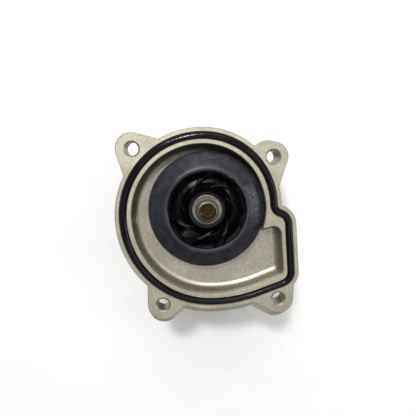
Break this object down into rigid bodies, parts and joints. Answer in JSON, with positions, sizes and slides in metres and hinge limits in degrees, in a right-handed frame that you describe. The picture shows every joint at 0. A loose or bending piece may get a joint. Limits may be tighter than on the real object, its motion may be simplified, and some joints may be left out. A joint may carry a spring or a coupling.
{
  "type": "water pump",
  "caption": "Engine coolant pump: cast aluminium flange with volute and ears, closed plastic impeller, seal cord, shaft bearing, face seal and ribbed belt pulley.",
  "frame": {"origin": "where the shaft axis crosses the flange's sealing face", "axes": "+Z along the shaft out of the sealing face, past the impeller; -Z towards the belt pulley; +X towards the outlet lobe's side; +Y away from the two lower ears"},
  "size_m": [0.1, 0.1098, 0.0764],
  "materials": {
    "cast_aluminium": "bead blasted casting, satin",
    "seal_rubber": "glossy black moulded rubber",
    "black_plastic": "satin moulded plastic",
    "impeller_plastic": "dark blue-grey filled plastic, worn gloss",
    "bright_steel": "turned steel",
    "shaft_steel": "ground steel, brownish end face",
    "bearing_steel": "ground bearing steel",
    "ball_steel": "polished balls",
    "cage_plastic": "natural glass filled polyamide",
    "carbon": "lapped carbon",
    "seat_ceramic": "lapped ceramic",
    "hub_steel": "sintered steel, satin",
    "pulley_paint": "satin black coating",
    "bolt_steel": "zinc plated"
  },
  "bodies": {
    "fixed_body": {"pump_housing": "cast_aluminium", "flange_seal": "seal_rubber", "weep_cap": "black_plastic", "bearing_outer_ring": "bearing_steel", "front_bearing_seal": "seal_rubber", "rear_bearing_seal": "seal_rubber", "seal_cup": "bright_steel", "seal_bellows": "seal_rubber", "seal_spring": "bright_steel", "seal_carbon_ring": "carbon"},
    "rotor": {"pump_shaft": "shaft_steel", "impeller_rotor": "impeller_plastic", "impeller_shroud": "impeller_plastic", "impeller_insert": "bright_steel", "seal_seat_ring": "seat_ceramic", "seal_seat_boot": "seal_rubber", "slinger_ring": "black_plastic", "pulley_hub": "hub_steel", "belt_pulley": "pulley_paint", "pulley_bolts": "bolt_steel"},
    "ball_sets": {"front_balls": "ball_steel", "rear_balls": "ball_steel", "front_cage": "cage_plastic", "rear_cage": "cage_plastic"}
  },
  "joints": [
    {"name": "shaft_spin", "type": "hinge", "parent": "fixed_body", "child": "rotor", "pos_m": [0, 0, 0], "axis": [0, 0, 1], "continuous": true},
    {"name": "ball_sets_orbit", "type": "hinge", "parent": "fixed_body", "child": "ball_sets", "pos_m": [0, 0, -0.0365], "axis": [0, 0, 1], "continuous": true}
  ],
  "couplings": [
    {"joint": "ball_sets_orbit", "follows": "shaft_spin", "ratio": 0.3657}
  ]
}
